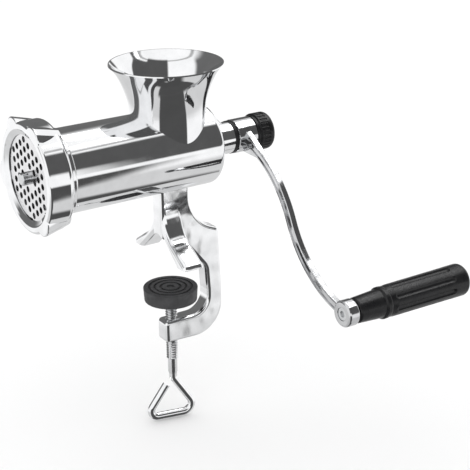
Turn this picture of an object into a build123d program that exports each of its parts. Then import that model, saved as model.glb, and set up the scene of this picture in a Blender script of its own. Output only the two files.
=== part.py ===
from build123d import *
from math import cos, hypot, radians, sin
import os

# Hand crank meat grinder with a table clamp. Millimetres, +Z up, +X along the barrel towards the crank.
# The origin is on the clamp screw's axis, in the plane of the jaw feet that stand on the table top.

# ---- where the barrel stands over the clamp ----
barrel_axis_z = 81.0
hopper_axis_x = 1.6
fit = 0.06  # radial running clearance

# ---- barrel, measured from the hopper's axis ----
barrel_r = 30.0
bore_r = 25.2
barrel_rear_x = 31.5
rear_wall = 7.5
rear_round = 5.0
collar_front_x = -93.3
collar_r = 32.7
spigot_front_x = -107.6
spigot_r = 33.0
thread_depth = 0.7
thread_pitch = 2.5
groove_count = 6
boss_r = 12.0
boss_rear_x = 50.6
bush_bore_r = 9.5
throat_r = 24.5

# ---- hopper ----
hopper_foot_r = 27.7
mouth_r = 41.2
mouth_z = 64.2

# ---- plate and ring nut ----
plate_front_x = -110.2
plate_thick = 5.0
plate_r = 31.0
plate_hole_r = 2.3
plate_pitch = 7.05
plate_turn = 26.8
plate_holes_from = 8.6
plate_holes_to = 27.4
stud_r = 4.5
ring_front_x = -113.2
ring_rear_x = -93.7
ring_r = 39.1
ring_mouth_r = 33.2
ring_lip_r = 30.2
ring_bore_r = 33.9
lug_angles = (64.0, 116.0, 229.0, 350.0)  # unevenly spaced round the ring
lug_r = 10.0
lug_lean = 15.0

# ---- auger and knife ----
worm_front_x = -98.9
worm_rear_x = 22.0
worm_core_r = 8.0
worm_r = 24.2
worm_pitch = 34.0
journal_r = 7.0
shaft_end_x = 53.7
square = 9.0
knife_rear_x = -98.9
knife_front_x = -104.8
blade_r = 24.0

# ---- crank, in the plane square to the barrel ----
bush_flange = 3.1
bush_flange_r = 12.3
hub_front_x = 54.0
hub_rear_x = 70.2
hub_r = 12.65
arm_mid_x = 62.0
arm_thick = 5.0
arm_wide = 7.3
root_wide = 17.0
arm_channel = 3.9
arm_sagitta = 10.5
crank_y = -132.0
crank_z = -95.8
end_boss_r = 9.7
end_boss_front_x = 58.0
end_boss_rear_x = 67.5
knob_r = 14.1
knob_front_x = 70.5
knob_rear_x = 85.4
grip_front_x = 68.0
grip_rear_x = 168.0
grip_pin_r = 3.0

# ---- clamp, measured from the jaw feet and the screw's axis ----
frame_half = 6.75
bracket_round = 2.6
leg_round = 3.3
spine_x = 41.8
arm_top_z = -52.0
arm_low_z = -70.4
arm_front_x = -8.4
neck_front_x = -9.9
neck_rear_x = 14.8
foot_out = 37.0
foot_in = 24.0
jaw_front_x = -9.4
jaw_rear_x = 7.6
screw_r = 4.5
screw_pitch = 2.0
screw_thread_low = -86.0
screw_low = -99.0
ball_z = -33.2
ball_r = 4.2
rod_r = 3.0
pad_top = -26.35
pad_low = -36.65
pad_r = 20.5
handle_turn = -12.0

barrel_place = Location((hopper_axis_x, 0, barrel_axis_z))
crank_place = Location((hopper_axis_x, crank_y, barrel_axis_z + crank_z))


def turned(points):
    """A solid turned about X from (x, radius) corners, closed along the axis if they don't meet it."""
    return revolve(make_face(Polyline(*points, close=True)), Axis.X)


def turned_up(outline):
    """A solid turned about Z from a closed outline of (radius, z) lines and curves."""
    return revolve(Plane.XZ * make_face(outline), Axis.Z)


def rod(x_from, x_to, r):
    """A round bar along X."""
    return Location((x_from, 0, 0), (0, 90, 0)) * Cylinder(
        r, x_to - x_from, align=(Align.CENTER, Align.CENTER, Align.MIN)
    )


def post(z_from, z_to, r):
    """A round bar along Z."""
    return Pos(0, 0, z_from) * Cylinder(r, z_to - z_from, align=(Align.CENTER, Align.CENTER, Align.MIN))


def box(x, y, z):
    """A block from three (low, high) pairs."""
    return Location((x[0], y[0], z[0])) * Box(x[1] - x[0], y[1] - y[0], z[1] - z[0], align=(Align.MIN,) * 3)


def thread_points(start, stop, crest, root, pitch):
    """Corners (along, radius) of a ridged thread running from start to stop."""
    turns = int(abs(stop - start) / pitch)
    step = (stop - start) / turns
    points = []
    for turn in range(turns):
        at = start + turn * step
        points += [(at, root), (at + 0.45 * step, crest), (at + 0.55 * step, crest)]
    return points + [(stop, root)]


def hopper_outside():
    """The trumpet shape of the hopper, solid through."""
    flare = Spline(
        (hopper_foot_r, 22), (28.6, 36), (32.1, 48), (37.0, 58), (mouth_r, mouth_z - 0.8),
        tangents=[(0.0, 1), (0.85, 1)],
    )
    return turned_up([
        Line((0, 5), (hopper_foot_r, 5)),
        Line((hopper_foot_r, 5), (hopper_foot_r, 22)),
        flare,
        Line((mouth_r, mouth_z - 0.8), (mouth_r - 0.3, mouth_z)),
        Line((mouth_r - 0.3, mouth_z), (0, mouth_z)),
        Line((0, mouth_z), (0, 5)),
    ])


def hopper_inside():
    """The hopper's passage, down to the straight throat."""
    flare = Spline(
        (mouth_r - 1.1, mouth_z), (34.7, 58), (29.2, 48), (25.4, 36), (throat_r, 28),
        tangents=[(-0.85, -1), (0.0, -1)],
    )
    return turned_up([
        Line((0, mouth_z + 1), (mouth_r - 1.1, mouth_z + 1)),
        Line((mouth_r - 1.1, mouth_z + 1), (mouth_r - 1.1, mouth_z)),
        flare,
        Line((throat_r, 28), (throat_r, 0)),
        Line((throat_r, 0), (0, 0)),
        Line((0, 0), (0, mouth_z + 1)),
    ])


def hopper_solid():
    return hopper_outside() - hopper_inside() - rod(-60, 60, barrel_r)


def barrel_solid():
    outline = FilletPolyline(
        (collar_front_x, 20), (collar_front_x, collar_r), (-89.9, collar_r), (-88.6, barrel_r),
        (barrel_rear_x, barrel_r), (barrel_rear_x, 0), (0, 0), (0, 20),
        radius=[0, 0.4, 0.8, 0.6, rear_round, 0, 0, 0], close=True,
    )
    tube = revolve(make_face(outline), Axis.X)
    root_r = spigot_r - thread_depth
    thread = thread_points(spigot_front_x + 0.8, collar_front_x, spigot_r, root_r, thread_pitch)
    tube += turned([(spigot_front_x, 10), (spigot_front_x, root_r)] + thread + [(collar_front_x, 10)])
    tube += rod(barrel_rear_x - 6, boss_rear_x, boss_r)
    tube += fin()
    tube -= rod(spigot_front_x - 1, barrel_rear_x - rear_wall, bore_r)
    tube -= rod(0, boss_rear_x + 1, bush_bore_r)
    tube -= rod(spigot_front_x - 1, plate_front_x + plate_thick + 0.3, plate_r + fit)
    for i in range(groove_count):
        tube -= Rot(360 * i / groove_count + 30, 0, 0) * box((-110, -42), (-2, 2), (20, bore_r + 1.3))
    return tube - key_solid() - post(0, 40, throat_r)


def fin():
    """The web that ties the back of the hopper to the bearing boss."""
    side = make_face(Polyline(
        (21.0, 24.0), (23.0, 31.5), (27.4, 29.6), (34.6, 22.7), (37.8, 20.2), (43.5, 13.8), (46.4, 9.0),
        (21.0, 8.0), close=True,
    ))
    web = extrude(Plane.XZ * side, 2.6, both=True)
    web = fillet(web.edges().filter_by(lambda e: e.center().Z > 12).filter_by(Axis.Y, reverse=True), 1.4)
    return web - hopper_outside()


def bush_solid():
    bush = rod(boss_rear_x, boss_rear_x + bush_flange, bush_flange_r)
    bush = chamfer(bush.edges().sort_by(Axis.X)[-1], 0.5)
    bush += rod(barrel_rear_x - rear_wall + 0.5, boss_rear_x, bush_bore_r)
    return bush - rod(0, 60, journal_r + fit)


def plate_hole_centres():
    """Centres (y, z) of a triangular grid that is centred midway between two of its holes."""
    a = (plate_pitch * cos(radians(plate_turn)), plate_pitch * sin(radians(plate_turn)))
    b = (plate_pitch * cos(radians(plate_turn - 60)), plate_pitch * sin(radians(plate_turn - 60)))
    centres = []
    for i in range(-6, 7):
        for j in range(-6, 7):
            y = a[0] * i + b[0] * (j + 0.5)
            z = a[1] * i + b[1] * (j + 0.5)
            if plate_holes_from < hypot(y, z) < plate_holes_to:
                centres.append((y, z))
    return centres


def plate_solid():
    plate = rod(plate_front_x, plate_front_x + plate_thick, plate_r)
    plate = chamfer(plate.edges(), 0.4)
    holes = [Pos(0, y, z) * rod(plate_front_x - 1, plate_front_x + plate_thick + 1, plate_hole_r)
             for y, z in plate_hole_centres()]
    plate = plate - holes
    plate -= rod(plate_front_x - 1, plate_front_x + plate_thick + 1, stud_r + fit)
    return plate - box((plate_front_x - 1, plate_front_x + plate_thick + 1), (-2.06, 2.06), (-40, -28.9))


def key_solid():
    """The pin in the barrel's front that stops the plate turning."""
    return box((-109.4, -99), (-2.0, 2.0), (-31.0, -29.2)) & rod(-112, -90, plate_r)


def ring_solid():
    outline = FilletPolyline(
        (ring_front_x, 20), (ring_front_x, ring_r), (ring_rear_x, ring_r), (ring_rear_x, 20),
        radius=[0, 2.0, 4.2, 0], close=True,
    )
    ring = revolve(make_face(outline), Axis.X)
    # each lug is a round bar leaning inwards towards the rear, so it dies away to a point
    for angle in lug_angles:
        bar = Location((ring_front_x - 6, 0, 34.9), (0, 90 + lug_lean, 0)) * Cylinder(
            lug_r, 40, align=(Align.CENTER, Align.CENTER, Align.MIN)
        )
        bar &= box((ring_front_x, ring_rear_x), (-20, 20), (20, 50))
        bar = fillet(bar.edges().sort_by(Axis.X)[0], 0.9)
        ring += Rot(angle - 90, 0, 0) * bar
    hollow = thread_points(ring_rear_x + 0.01, -108.0, ring_bore_r - thread_depth, ring_bore_r, -thread_pitch)
    ring -= turned([(-90, 0), (-90, ring_bore_r)] + hollow + [(-110.5, ring_bore_r), (-110.5, 0)])
    # the mouth opens in a cone, with a steeper edge where it meets the front
    edge_r = ring_mouth_r + 1.0
    ring -= turned([
        (-111, 0), (-111, ring_lip_r), (-112.4, ring_mouth_r), (-113.21, edge_r), (-115, edge_r), (-115, 0),
    ])
    return ring - rod(-112, -110, ring_lip_r)


def auger_solid():
    core = turned([
        (worm_front_x, 0), (worm_front_x, 9.0), (-94, 9.0), (-60, worm_core_r), (0, worm_core_r + 1.5),
        (worm_rear_x, worm_core_r + 3.0), (worm_rear_x, journal_r), (shaft_end_x, journal_r),
        (shaft_end_x, 0),
    ])
    flats = (-square / 2, square / 2)
    core += box((shaft_end_x, 66.0), flats, flats) & rod(50, 70, 5.9)
    low, high = worm_front_x + 3.4, worm_rear_x - 3.5
    coil = Helix(worm_pitch, high - low, worm_core_r, cone_angle=0)
    tall = worm_r - worm_core_r
    section = Plane(origin=coil @ 0, x_dir=(1, 0, 0), z_dir=(coil % 0)) * make_face(
        Polyline((-1.5, -2.7), (tall, -1.4), (tall, 1.4), (-1.5, 2.7), close=True)
    )
    flight = sweep(section, path=coil, is_frenet=True)
    worm = core + Location((low, 0, 0), (0, 90, 0)) * (Rot(0, 0, 120) * flight)
    return worm - rod(worm_front_x - 1, worm_front_x + 12, 4.0) - rod(50.0, 67.0, 3.0)


def stud_solid():
    """The front stud: a screw into the worm, a square that drives the knife, a pin that runs in the plate."""
    stud = rod(-116.4, knife_front_x, stud_r)
    stud = chamfer(stud.edges().sort_by(Axis.X)[0], 0.8)
    stud += box((knife_front_x, knife_rear_x), (-4.4, 4.4), (-4.4, 4.4))
    return stud + rod(knife_rear_x, worm_front_x + 12, 4.0)


def knife_solid():
    knife = rod(knife_front_x, knife_rear_x, 9.6)
    # a flat cutting land against the plate, with the trailing side sloping back from it
    blade = make_face(Polyline(
        (knife_front_x, -4.8), (knife_front_x, 3.0), (knife_rear_x - 1, 3.0), (knife_rear_x - 1, -0.6),
        close=True,
    ))
    arm = Pos(0, 0, 4) * extrude(blade, blade_r - 4)
    for i in range(4):
        knife += Rot(90 * i + 20, 0, 0) * arm
    return knife - box((-110, -90), (-4.45, 4.45), (-4.45, 4.45))


def thrust_washer_solid():
    return rod(worm_rear_x, worm_rear_x + 1.6, 13.0) - rod(0, 60, journal_r)


def arm_path():
    """The S of the crank arm in its own (across, up) plane, from the barrel's axis to the grip's axis."""
    span = hypot(crank_y, crank_z)
    u = Vector(crank_y / span, crank_z / span)
    v = Vector(u.Y, -u.X)
    halves = []
    for start, side in ((0.0, 1), (span / 2, -1)):
        first = u * start
        middle = u * (start + span / 4) + v * (side * arm_sagitta)
        last = u * (start + span / 2)
        halves.append(ThreePointArc(first, middle, last))
    return halves


def arm_root():
    """The widening of the arm where it leaves the hub."""
    tip = arm_path()[0] @ 0.32
    along = Vector(tip.X, tip.Y).normalized()
    across = Vector(-along.Y, along.X)
    wide, narrow = root_wide / 2, arm_wide / 2
    start = along * hub_r * 0.7
    return make_face(Polyline(
        start + across * wide, tip + across * narrow, tip - across * narrow, start - across * wide,
        close=True,
    ))


def crank_solid():
    plane = Plane(origin=(0, 0, 0), x_dir=(0, 1, 0), z_dir=(1, 0, 0))
    outline = trace(arm_path(), line_width=arm_wide)
    arm = Pos(arm_mid_x, 0, 0) * extrude(plane * outline, arm_thick / 2, both=True)
    arm = fillet(arm.edges().filter_by(lambda e: e.length > 40), 0.9)
    arm += Pos(arm_mid_x, 0, 0) * extrude(plane * arm_root(), arm_thick / 2 - 0.5, both=True)
    channel = trace(arm_path(), line_width=arm_channel)
    for side in (-1, 1):
        at = arm_mid_x + side * arm_thick / 2
        arm -= Pos(at, 0, 0) * extrude(plane * channel, 0.8, both=True)
    hub = chamfer(rod(hub_front_x, hub_rear_x, hub_r).edges(), 0.5)
    end = rod(end_boss_front_x, end_boss_rear_x, end_boss_r)
    end = Pos(0, crank_y, crank_z) * fillet(end.edges(), 1.8)
    crank = arm + hub + end
    flats = (-square / 2 - fit, square / 2 + fit)
    crank -= box((50, 72), flats, flats) & rod(50, 72, 6.0)
    pin = Pos(0, crank_y, crank_z)
    crank -= pin * rod(end_boss_front_x - 1, end_boss_front_x + 2.6, 4.8 + fit)
    return crank - pin * rod(50, 70, grip_pin_r + fit)


def knob_solid():
    outline = FilletPolyline(
        (knob_front_x, 0), (knob_front_x, 13.0), (72.6, 13.0), (73.2, knob_r), (knob_rear_x, knob_r),
        (knob_rear_x, 0), radius=[0, 0.4, 0.2, 0.4, 3.4, 0], close=True,
    )
    knob = revolve(make_face(outline), Axis.X)
    flute = Pos(0, 0, knob_r + 0.35) * rod(73.9, 80.6, 0.9)
    knob = knob - [Rot(360 * i / 30, 0, 0) * flute for i in range(30)]
    return knob - rod(70, 79, 5.0)


def knob_stud_solid():
    """The steel screw moulded into the knob, with a flanged head inside it."""
    return rod(56.0, 79, 2.94) + rod(knob_front_x, 79, 5.0)


def grip_solid():
    points = [
        (grip_front_x + 0.4, 0), (grip_front_x + 0.4, 8.6), (69.4, 9.3), (90.0, 10.5), (91.2, 11.7),
        (94.0, 11.7), (95.2, 11.1), (100, 11.7), (grip_rear_x, 12.1), (grip_rear_x, 0),
    ]
    rounds = [0, 0.5, 2.0, 0.8, 0.6, 0.6, 0.8, 6.0, 3.4, 0]
    grip = revolve(make_face(FilletPolyline(*points, radius=rounds, close=True)), Axis.X)
    flute = rod(101, 152, 3.0) + Pos(101, 0, 0) * Sphere(3.0) + Pos(152, 0, 0) * Sphere(3.0)
    flute = Pos(0, 0, 13.6) * flute
    grip = grip - [Rot(45 * i + 10, 0, 0) * flute for i in range(8)]
    return grip - rod(60, 120, grip_pin_r) - rod(120, 140, 5.0)


def grip_bolt_solid():
    head = rod(end_boss_front_x + 0.5, end_boss_front_x + 2.3, 4.8)
    head = chamfer(head.edges().sort_by(Axis.X)[0], 0.3)
    bolt = head + rod(end_boss_front_x + 2.3, 136, grip_pin_r)
    socket = Pos(end_boss_front_x, 0, 0) * extrude(Plane.YZ * RegularPolygon(2.6, 6), 2.0)
    return bolt - socket


def grip_insert_solid():
    """The threaded metal sleeve moulded into the grip."""
    return rod(120, 140, 5.0) - rod(110, 136, grip_pin_r)


def bracket_solid():
    side = FilletPolyline(
        (neck_front_x, 58), (neck_front_x, 10), (8.0, 10), (27.6, -15), (28.9, -34), (28.9, arm_top_z),
        (arm_front_x, arm_top_z), (arm_front_x, arm_low_z + 1.0), (spine_x, arm_low_z - 0.6),
        (spine_x, -33), (39.6, 14.4), (neck_rear_x, 24.4), (neck_rear_x, 58),
        radius=[0, 0, 4, 12, 6, 13, 3.0, 3.0, 24, 60, 4.0, 30, 0], close=True,
    )
    frame = extrude(Plane.XZ * make_face(side), frame_half, both=True)
    rim = frame.edges().filter_by(Axis.Y, reverse=True).filter_by(lambda e: e.center().Z < 57)
    frame = fillet(rim, bracket_round)
    frame -= Pos(jaw_front_x - 2, 0, 0) * extrude(Plane.YZ * arch_hollow(), jaw_rear_x - jaw_front_x + 2)
    frame = frame + legs_solid()
    frame -= barrel_place * rod(-60, 60, barrel_r)
    frame -= post(-80, -40, screw_r + fit)
    return frame


def arch_hollow():
    """The gap between the two legs."""
    under = FilletPolyline((foot_in, -1), (0, 21.5), (-foot_in, -1), radius=[8], close=False)
    return make_face([under, Line((-foot_in, -1), (foot_in, -1))])


def legs_solid():
    """The two legs of the jaw, rounded along their length and cut off flat where they stand on the table."""
    below = -4.0
    spread = foot_in - below * foot_in / 21.5
    outside = [(frame_half, 58), (frame_half, 21.6), (foot_out, 2.3), (foot_out, below), (spread, below)]
    rounds = [0, 29, 5, 0, 0]
    arch = FilletPolyline(
        *outside, (0, 21.5), *[(-y, z) for y, z in reversed(outside)],
        radius=[*rounds, 8, *reversed(rounds)], close=True,
    )
    legs = Pos(jaw_front_x, 0, 0) * extrude(Plane.YZ * make_face(arch), jaw_rear_x - jaw_front_x)
    rim = legs.edges().filter_by(Axis.X, reverse=True).filter_by(lambda e: below < e.center().Z < 57)
    legs = fillet(rim.filter_by(lambda e: e.center().Z > below + 0.1), leg_round)
    return legs - box((-60, 60), (-60, 60), (below - 1, 0))


def clamp_screw_solid():
    thread = thread_points(screw_thread_low, -40.0, screw_r, screw_r - 0.9, screw_pitch)
    low_end = [(screw_low, 0), (screw_low, rod_r), (screw_low + 2.0, 3.6)]
    shaft = low_end + thread + [(-38.6, 3.2), (-34.0, 3.2), (-34.0, 0)]
    profile = make_face(Polyline(*[(r, z) for z, r in shaft], close=True))
    return revolve(Plane.XZ * profile, Axis.Z) + Pos(0, 0, ball_z) * Sphere(ball_r)


def handle_solid():
    """The triangular handle: one bent rod that closes almost to the screw's end."""
    path = FilletPolyline(
        (0, screw_low), (0, screw_low - 3.5), (20.2, -134.1), (-23.2, -134.1), (-5.4, -107.6),
        radius=[5.0, 7.0, 5.5], close=False,
    )
    path = Plane.XZ * path
    start = Plane(origin=path @ 0, z_dir=path % 0)
    bent = sweep(start * Circle(rod_r), path=path)
    return Rot(0, 0, handle_turn) * bent


def pad_cup_solid():
    """The steel foot inside the rubber, with a socket for the screw's ball."""
    cup = post(pad_low, pad_low + 2.4, 15.0) + post(pad_low, -27.9, 6.4)
    return cup - Pos(0, 0, ball_z) * Sphere(ball_r + fit) - post(-40, ball_z, ball_r + fit)


def pad_retainer_solid():
    """The washer peened under the foot, which keeps the ball in its socket."""
    return post(pad_low - 1.0, pad_low, 8.0) - post(-40, -30, 3.2 + fit)


def pad_solid():
    tall = pad_top - pad_low
    rubber = Cone(pad_r - 0.7, pad_r, tall, align=(Align.CENTER, Align.CENTER, Align.MIN))
    rubber = Pos(0, 0, pad_low) * rubber
    rubber = fillet(rubber.edges().filter_by(GeomType.CIRCLE), 0.6)
    for r in (7.4, 11.8, 16.0):
        rubber -= post(pad_top - 1.2, pad_top + 1, r + 0.9) - post(-40, -20, r - 0.9)
    rubber -= post(pad_top - 1.0, pad_top + 1, 2.9)
    return rubber - post(pad_low - 1, pad_low + 2.4, 15.0) - post(pad_low - 1, -27.9, 6.4)


os.makedirs("parts", exist_ok=True)

along_barrel = {
    "barrel": barrel_solid,
    "hopper": hopper_solid,
    "rear_bush": bush_solid,
    "plate_key": key_solid,
    "grinding_plate": plate_solid,
    "ring_nut": ring_solid,
    "auger": auger_solid,
    "auger_stud": stud_solid,
    "knife": knife_solid,
    "thrust_washer": thrust_washer_solid,
    "crank_arm": crank_solid,
    "thumb_knob": knob_solid,
    "knob_stud": knob_stud_solid,
}
along_grip = {
    "grip": grip_solid,
    "grip_bolt": grip_bolt_solid,
    "grip_insert": grip_insert_solid,
}
in_place = {
    "clamp_bracket": bracket_solid,
    "clamp_screw": clamp_screw_solid,
    "clamp_handle": handle_solid,
    "pad_cup": pad_cup_solid,
    "pad_retainer": pad_retainer_solid,
    "clamp_pad": pad_solid,
}

for place, pieces in ((barrel_place, along_barrel), (crank_place, along_grip), (Location(), in_place)):
    for name, make in pieces.items():
        export_step(place * make(), f"parts/{name}.step")
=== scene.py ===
from math import cos, radians, sin

import bpy
from mathutils import Matrix, Vector


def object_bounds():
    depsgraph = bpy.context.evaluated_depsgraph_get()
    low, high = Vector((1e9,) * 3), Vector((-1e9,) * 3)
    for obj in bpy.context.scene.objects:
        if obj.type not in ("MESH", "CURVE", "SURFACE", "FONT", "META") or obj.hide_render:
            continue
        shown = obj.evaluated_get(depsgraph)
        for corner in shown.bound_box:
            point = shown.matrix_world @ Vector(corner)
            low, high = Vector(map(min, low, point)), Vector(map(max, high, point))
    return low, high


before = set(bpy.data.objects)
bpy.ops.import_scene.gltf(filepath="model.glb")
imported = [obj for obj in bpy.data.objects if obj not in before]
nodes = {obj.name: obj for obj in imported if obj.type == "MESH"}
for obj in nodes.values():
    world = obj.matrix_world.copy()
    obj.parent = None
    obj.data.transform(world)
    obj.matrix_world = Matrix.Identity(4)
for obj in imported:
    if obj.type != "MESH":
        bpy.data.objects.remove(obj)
cad_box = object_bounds()

# ---- camera ----
camera_azimuth = -33.17
camera_elevation = 21.52
camera_roll = -0.55
camera_place = Vector((-0.4628, -0.7972, 0.3774))
camera_lens = 102.585

camera_near = 0.01
sensor_width = 36.0

# ---- studio ----
floor_half = 8.0
floor_drop = 0.0006
floor_colours = ((0.95, 0.95, 0.95), (0.935, 0.935, 0.935))
floor_mottle = 3
floor_roughness = 0.9
studio_strength = 1.12
room_brightness = 1.0

# ---- how metal and plastic vary from place to place, as noise scales per metre ----
metal_colour_scale = 90
metal_finish_scale = 160
moulded_colour_scale = 140
moulded_finish_scale = 300
moulded_gloss = 0.3


def new_material(name):
    """A material whose only nodes are the output and one principled shader."""
    material = bpy.data.materials.new(name)
    material.use_nodes = True
    tree = material.node_tree
    tree.nodes.clear()
    out = tree.nodes.new("ShaderNodeOutputMaterial")
    shader = tree.nodes.new("ShaderNodeBsdfPrincipled")
    tree.links.new(shader.outputs["BSDF"], out.inputs["Surface"])
    return material, tree, shader


def noise(tree, scale, detail=2.0, roughness=0.5):
    """Noise over the object's own coordinates, which are in metres."""
    where = tree.nodes.new("ShaderNodeTexCoord")
    texture = tree.nodes.new("ShaderNodeTexNoise")
    texture.inputs["Scale"].default_value = scale
    texture.inputs["Detail"].default_value = detail
    texture.inputs["Roughness"].default_value = roughness
    tree.links.new(where.outputs["Object"], texture.inputs["Vector"])
    return texture.outputs["Fac"]


def spread(tree, value, low, high, from_low=0.3, from_high=0.7):
    """Stretches a noise value over low to high."""
    node = tree.nodes.new("ShaderNodeMapRange")
    node.inputs["From Min"].default_value = from_low
    node.inputs["From Max"].default_value = from_high
    node.inputs["To Min"].default_value = low
    node.inputs["To Max"].default_value = high
    tree.links.new(value, node.inputs["Value"])
    return node.outputs["Result"]


def blend_colours(tree, value, first, second):
    """A colour between first and second, by a noise value."""
    node = tree.nodes.new("ShaderNodeMix")
    node.data_type = "RGBA"
    node.inputs["A"].default_value = (*first, 1)
    node.inputs["B"].default_value = (*second, 1)
    tree.links.new(spread(tree, value, 0, 1), node.inputs["Factor"])
    return node.outputs["Result"]


def bump(tree, heights):
    """Chained bumps, each a (height socket, depth in metres) pair."""
    normal = None
    for height, depth in heights:
        node = tree.nodes.new("ShaderNodeBump")
        node.inputs["Distance"].default_value = depth
        tree.links.new(height, node.inputs["Height"])
        if normal:
            tree.links.new(normal, node.inputs["Normal"])
        normal = node.outputs["Normal"]
    return normal


def metal(name, first, second, rough, wobble, grain):
    """Bare metal: slow waves of the surface, fine grain, and a finish that varies from place to place.

    first and second are the colours it varies between, and rough the two roughnesses.
    wobble and grain are (scale per metre, depth in metres) pairs.
    """
    material, tree, shader = new_material(name)
    shader.inputs["Metallic"].default_value = 1.0
    colour = blend_colours(tree, noise(tree, metal_colour_scale, 3), first, second)
    tree.links.new(colour, shader.inputs["Base Color"])
    tree.links.new(spread(tree, noise(tree, metal_finish_scale, 4), *rough), shader.inputs["Roughness"])
    waves = (noise(tree, wobble[0], 1.0, 0.4), wobble[1])
    fine = (noise(tree, grain[0], 2.0, 0.6), grain[1])
    tree.links.new(bump(tree, [waves, fine]), shader.inputs["Normal"])
    return material


def moulded(name, first, second, rough, grain):
    """Moulded plastic or rubber with a fine pebbled skin, given as (scale per metre, depth in metres)."""
    material, tree, shader = new_material(name)
    colour = blend_colours(tree, noise(tree, moulded_colour_scale, 4), first, second)
    tree.links.new(colour, shader.inputs["Base Color"])
    tree.links.new(spread(tree, noise(tree, moulded_finish_scale, 3), *rough), shader.inputs["Roughness"])
    shader.inputs["Specular IOR Level"].default_value = moulded_gloss
    skin = (noise(tree, grain[0], 3.0, 0.6), grain[1])
    tree.links.new(bump(tree, [skin]), shader.inputs["Normal"])
    return material


# ---- finishes ----
bright = (0.87, 0.875, 0.885)
paler = (0.80, 0.805, 0.815)
dull = (0.70, 0.705, 0.715)

polished = metal(
    "polished_steel", bright, paler, (0.03, 0.075), (18, 0.00012), (1400, 0.000002),
)
hand_polished = metal(
    "hand_polished_steel", bright, paler, (0.05, 0.11), (55, 0.0006), (900, 0.000008),
)
forged = metal(
    "forged_steel", (0.66, 0.665, 0.675), (0.54, 0.545, 0.555), (0.07, 0.14), (60, 0.0005), (900, 0.000006),
)
ground = metal(
    "ground_steel", (0.80, 0.80, 0.81), (0.70, 0.70, 0.71), (0.16, 0.26), (60, 0.0001), (2600, 0.00001),
)
cast = metal(
    "cast_steel", (0.62, 0.63, 0.64), (0.50, 0.51, 0.52), (0.32, 0.5), (120, 0.0006), (1500, 0.00006),
)
plain = metal(
    "plain_steel", (0.72, 0.73, 0.74), (0.62, 0.63, 0.64), (0.18, 0.3), (80, 0.0002), (2000, 0.00001),
)
plated = metal(
    "bright_plate", bright, paler, (0.05, 0.12), (90, 0.0003), (1600, 0.000006),
)
threaded = metal(
    "threaded_steel", paler, dull, (0.15, 0.23), (90, 0.0002), (1600, 0.000006),
)
brass = metal(
    "brass", (0.72, 0.54, 0.25), (0.62, 0.45, 0.2), (0.2, 0.32), (90, 0.0002), (1800, 0.00001),
)
black = moulded(
    "black_plastic", (0.006, 0.006, 0.007), (0.011, 0.011, 0.012), (0.24, 0.36), (900, 0.00003),
)
bush_black = moulded(
    "bush_plastic", (0.008, 0.008, 0.009), (0.014, 0.014, 0.015), (0.42, 0.55), (1200, 0.00003),
)
rubber = moulded(
    "pad_rubber", (0.042, 0.042, 0.044), (0.062, 0.062, 0.065), (0.5, 0.68), (800, 0.00005),
)

finishes = {
    "barrel": polished, "hopper": polished, "ring_nut": polished, "clamp_bracket": hand_polished,
    "crank_arm": forged, "grinding_plate": ground, "knife": ground, "auger": cast, "auger_stud": plain,
    "plate_key": plain, "knob_stud": plain, "grip_bolt": plain, "pad_cup": plain, "pad_retainer": plain,
    "clamp_screw": threaded, "clamp_handle": plated, "grip_insert": brass, "thumb_knob": black, "grip": black,
    "rear_bush": bush_black, "thrust_washer": bush_black, "clamp_pad": rubber,
}
for name, finish in finishes.items():
    for slot in nodes[name].material_slots:
        slot.material = finish


def add_floor():
    """A pale floor just under the lowest point, which the metal doesn't mirror."""
    low = cad_box[0][2] - floor_drop
    corners = [(-1, -1), (1, -1), (1, 1), (-1, 1)]
    mesh = bpy.data.meshes.new("floor")
    mesh.from_pydata([(x * floor_half, y * floor_half, low) for x, y in corners], [], [(0, 1, 2, 3)])
    floor = bpy.data.objects.new("floor", mesh)
    bpy.context.scene.collection.objects.link(floor)
    material, tree, shader = new_material("floor_paper")
    colour = blend_colours(tree, noise(tree, floor_mottle, 2), *floor_colours)
    tree.links.new(colour, shader.inputs["Base Color"])
    shader.inputs["Roughness"].default_value = floor_roughness
    mesh.materials.append(material)
    floor.visible_glossy = False


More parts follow.
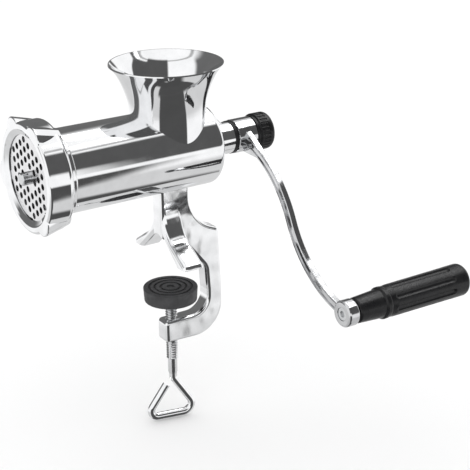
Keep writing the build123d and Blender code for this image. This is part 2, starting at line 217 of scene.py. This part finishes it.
class Sky:
    """The studio as it is seen in the metal: a pale room with soft-edged dark and pale panels.

    A panel is given by its azimuth and elevation in degrees, as seen from the object.
    """

    def __init__(self):
        world = bpy.data.worlds.new("studio")
        bpy.context.scene.world = world
        world.use_nodes = True
        self.tree = world.node_tree
        self.tree.nodes.clear()
        where = self.tree.nodes.new("ShaderNodeTexCoord")
        axes = self.tree.nodes.new("ShaderNodeSeparateXYZ")
        self.tree.links.new(where.outputs["Generated"], axes.inputs["Vector"])
        self.elevation = self.math("ARCSINE", axes.outputs["Z"])
        self.azimuth = self.math("ARCTAN2", axes.outputs["Y"], axes.outputs["X"])

    def math(self, operation, a, b=None):
        node = self.tree.nodes.new("ShaderNodeMath")
        node.operation = operation
        for socket, value in zip(node.inputs, (a, b)):
            if isinstance(value, (int, float)):
                socket.default_value = value
            elif value is not None:
                self.tree.links.new(value, socket)
        return node.outputs["Value"]

    def step(self, value, edge, soft):
        """0 below the edge and 1 above it, both in degrees, with a soft change."""
        node = self.tree.nodes.new("ShaderNodeMapRange")
        node.interpolation_type = "SMOOTHSTEP"
        node.inputs["From Min"].default_value = radians(edge - soft)
        node.inputs["From Max"].default_value = radians(edge + soft)
        self.tree.links.new(value, node.inputs["Value"])
        return node.outputs["Result"]

    def band(self, value, low, high, soft):
        """1 between low and high, and 0 outside them."""
        return self.math("SUBTRACT", self.step(value, low, soft), self.step(value, high, soft))

    def paint(self, level, azimuths, elevations, brightness, soft=3.0):
        """Lays a panel of that brightness over level."""
        mask = self.math(
            "MULTIPLY", self.band(self.azimuth, *azimuths, soft), self.band(self.elevation, *elevations, soft)
        )
        node = self.tree.nodes.new("ShaderNodeMix")
        self.tree.links.new(mask, node.inputs["Factor"])
        self.tree.links.new(level, node.inputs["A"])
        node.inputs["B"].default_value = brightness
        return node.outputs["Result"]

    def light(self, level):
        """Metal and gloss see the panels, and everything else is lit by the plain pale room."""
        tree = self.tree
        rays = tree.nodes.new("ShaderNodeLightPath")
        choose = tree.nodes.new("ShaderNodeMix")
        choose.inputs["A"].default_value = room_brightness
        tree.links.new(rays.outputs["Is Glossy Ray"], choose.inputs["Factor"])
        tree.links.new(level, choose.inputs["B"])
        background = tree.nodes.new("ShaderNodeBackground")
        background.inputs["Strength"].default_value = studio_strength
        tree.links.new(choose.outputs["Result"], background.inputs["Color"])
        out = tree.nodes.new("ShaderNodeOutputWorld")
        tree.links.new(background.outputs["Background"], out.inputs["Surface"])


def add_studio():
    """The pale room with its panels, each painted over the ones before it."""
    sky = Sky()
    low = -90
    panels = [
        # azimuths, elevations, brightness, softness
        ((-200, 200), (low, -24), 0.66, 6),
        ((-32, 50), (51, 62), 6.0, 2),
        ((-200, 200), (53.5, 56.5), 0.45, 1.0),
        ((-64, -18), (0, 50), 0.09, 2),
        ((-126, -60), (14, 58), 0.09, 3),
        ((-144, -61), (-60, -8), 0.075, 2),
        ((-150, -14), (-80, -57), 0.075, 3),
        ((168, 172), (-60, -8), 0.5, 1.5),
        ((30, 86), (6, 31), 0.09, 3),
        ((52, 150), (-8, 48), 0.14, 7),
        ((-200, 200), (low, -73), 0.07, 3),
    ]
    level = sky.math("ADD", room_brightness, 0.0)
    for azimuths, elevations, brightness, soft in panels:
        level = sky.paint(level, azimuths, elevations, brightness, soft)
    sky.light(level)


def add_camera():
    """The camera at the given place, turned by azimuth, elevation and roll."""
    azimuth, elevation, roll = (radians(a) for a in (camera_azimuth, camera_elevation, camera_roll))
    right = Vector((cos(azimuth), sin(azimuth), 0))
    back = Vector((sin(azimuth) * cos(elevation), -cos(azimuth) * cos(elevation), sin(elevation)))
    up = back.cross(right)
    across = right * cos(roll) + up * sin(roll)
    upright = up * cos(roll) - right * sin(roll)
    data = bpy.data.cameras.new("camera")
    data.lens = camera_lens
    data.sensor_width = sensor_width
    data.clip_start = camera_near
    camera = bpy.data.objects.new("camera", data)
    turned = Matrix((across, upright, back)).transposed().to_4x4()
    camera.matrix_world = Matrix.Translation(camera_place) @ turned
    bpy.context.scene.collection.objects.link(camera)
    bpy.context.scene.camera = camera


add_floor()
add_studio()
add_camera()
bpy.context.scene.view_settings.view_transform = "Standard"
